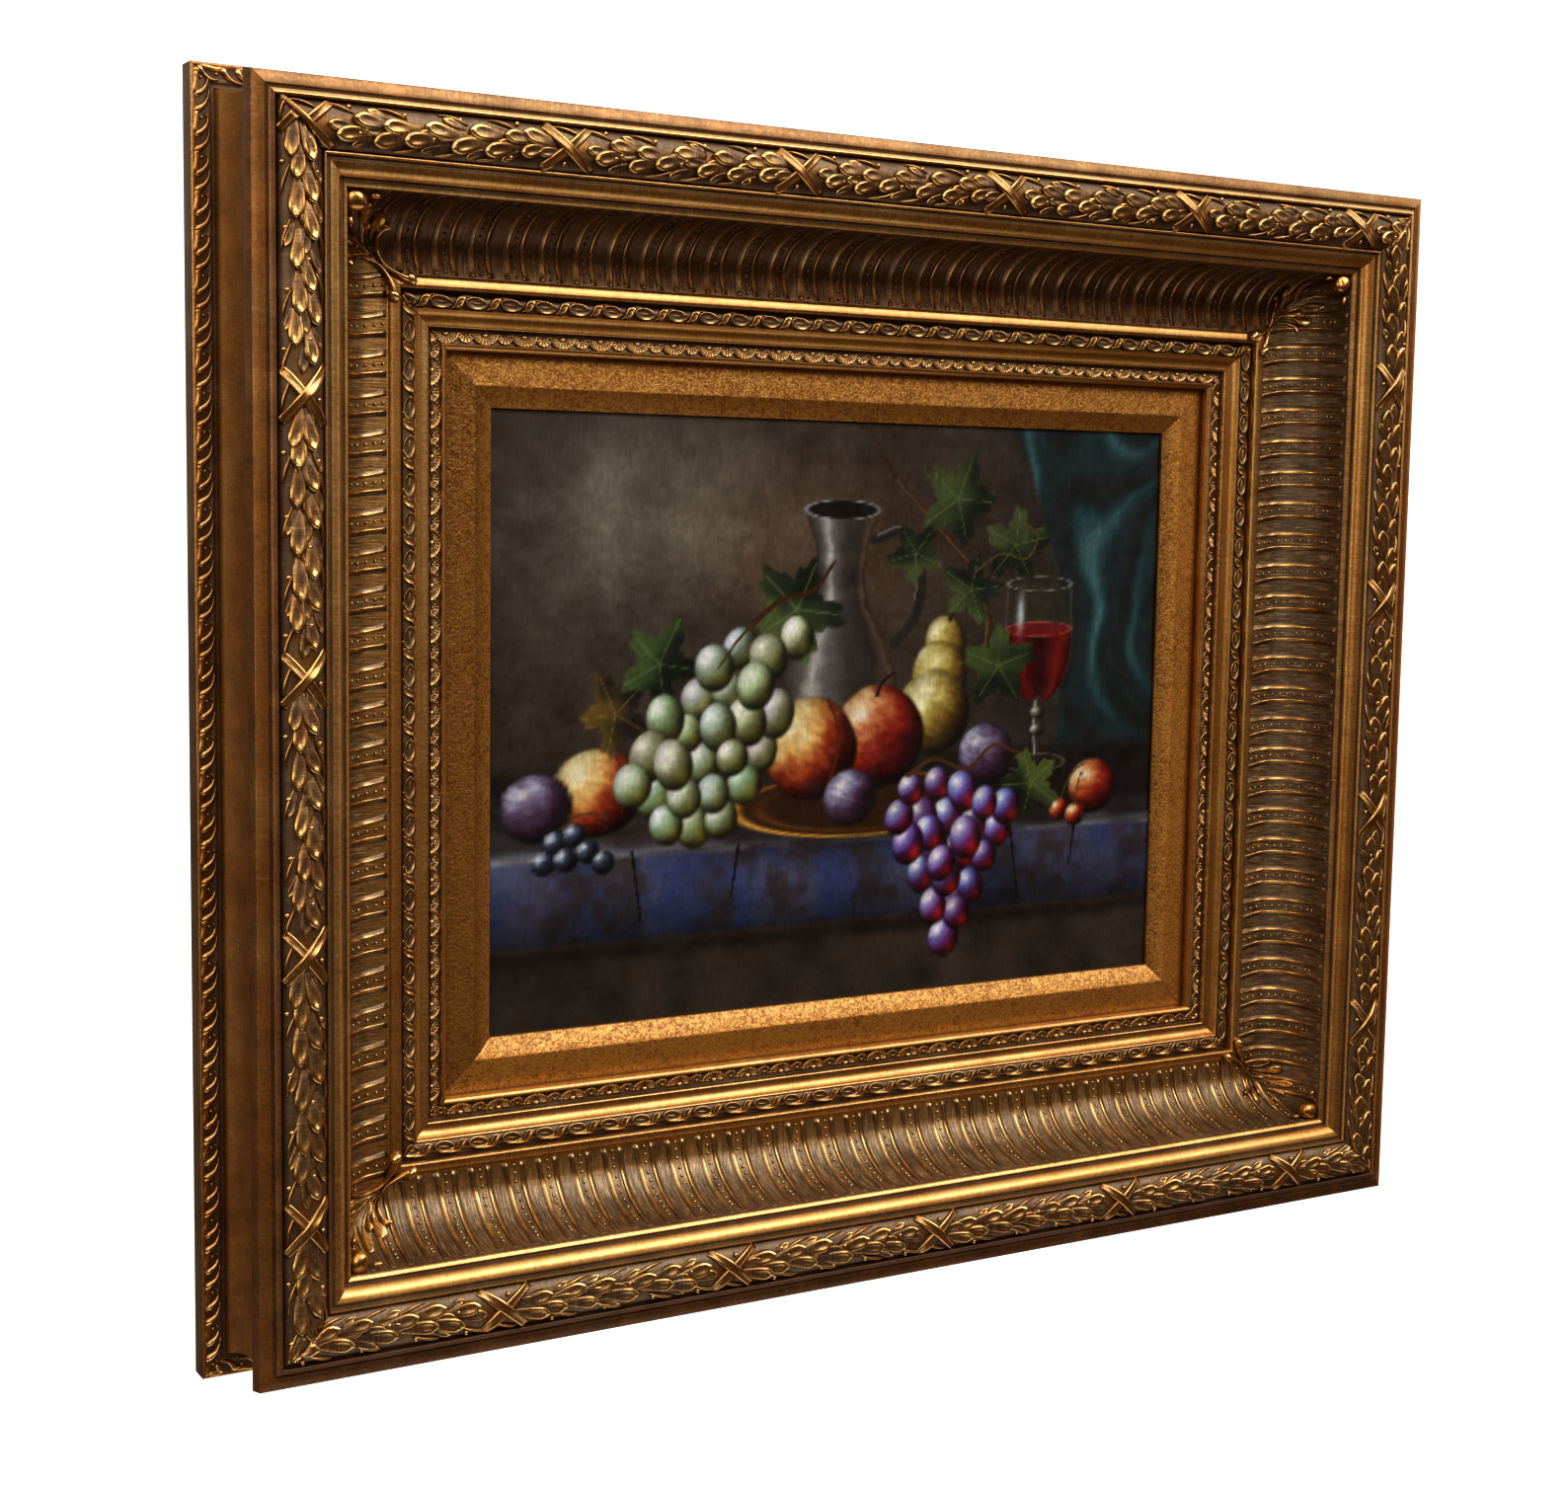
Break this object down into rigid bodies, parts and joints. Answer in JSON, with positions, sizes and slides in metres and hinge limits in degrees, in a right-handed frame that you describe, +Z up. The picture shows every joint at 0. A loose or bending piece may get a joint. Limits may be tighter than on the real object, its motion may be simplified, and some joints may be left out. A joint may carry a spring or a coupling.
{
  "type": "framed oil painting",
  "caption": "Wall-hung still-life panel in a sandy gilt liner and a deep antique-gilt scoop frame with laurel garland, ribbed cove and corner leaves.",
  "frame": {"origin": "hanging point on the flat back of the top rail, midway along it and 40 mm below the front flange's top edge", "axes": "+X to the viewer's right along the frame, +Y back into the wall, +Z up; the painting faces -Y"},
  "size_m": [0.6718, 0.0697, 0.5705],
  "materials": {
    "gilt_moulding": "antique gilt over pressed ornament on wood, toned brown and grey in the hollows",
    "gilt_leaf": "antique gilt on cast composition",
    "sandy_gilt": "gilt over a fine sanded ground",
    "oil_paint": "varnished oil paint on a thin panel"
  },
  "bodies": {
    "root": {"frame_rail_top": "gilt_moulding", "frame_rail_bottom": "gilt_moulding", "frame_rail_left": "gilt_moulding", "frame_rail_right": "gilt_moulding", "corner_leaf_top_left": "gilt_leaf", "corner_leaf_top_right": "gilt_leaf", "corner_leaf_bottom_left": "gilt_leaf", "corner_leaf_bottom_right": "gilt_leaf", "liner_rail_top": "sandy_gilt", "liner_rail_bottom": "sandy_gilt", "liner_rail_left": "sandy_gilt", "liner_rail_right": "sandy_gilt", "painting_panel": "oil_paint"}
  },
  "joints": []
}
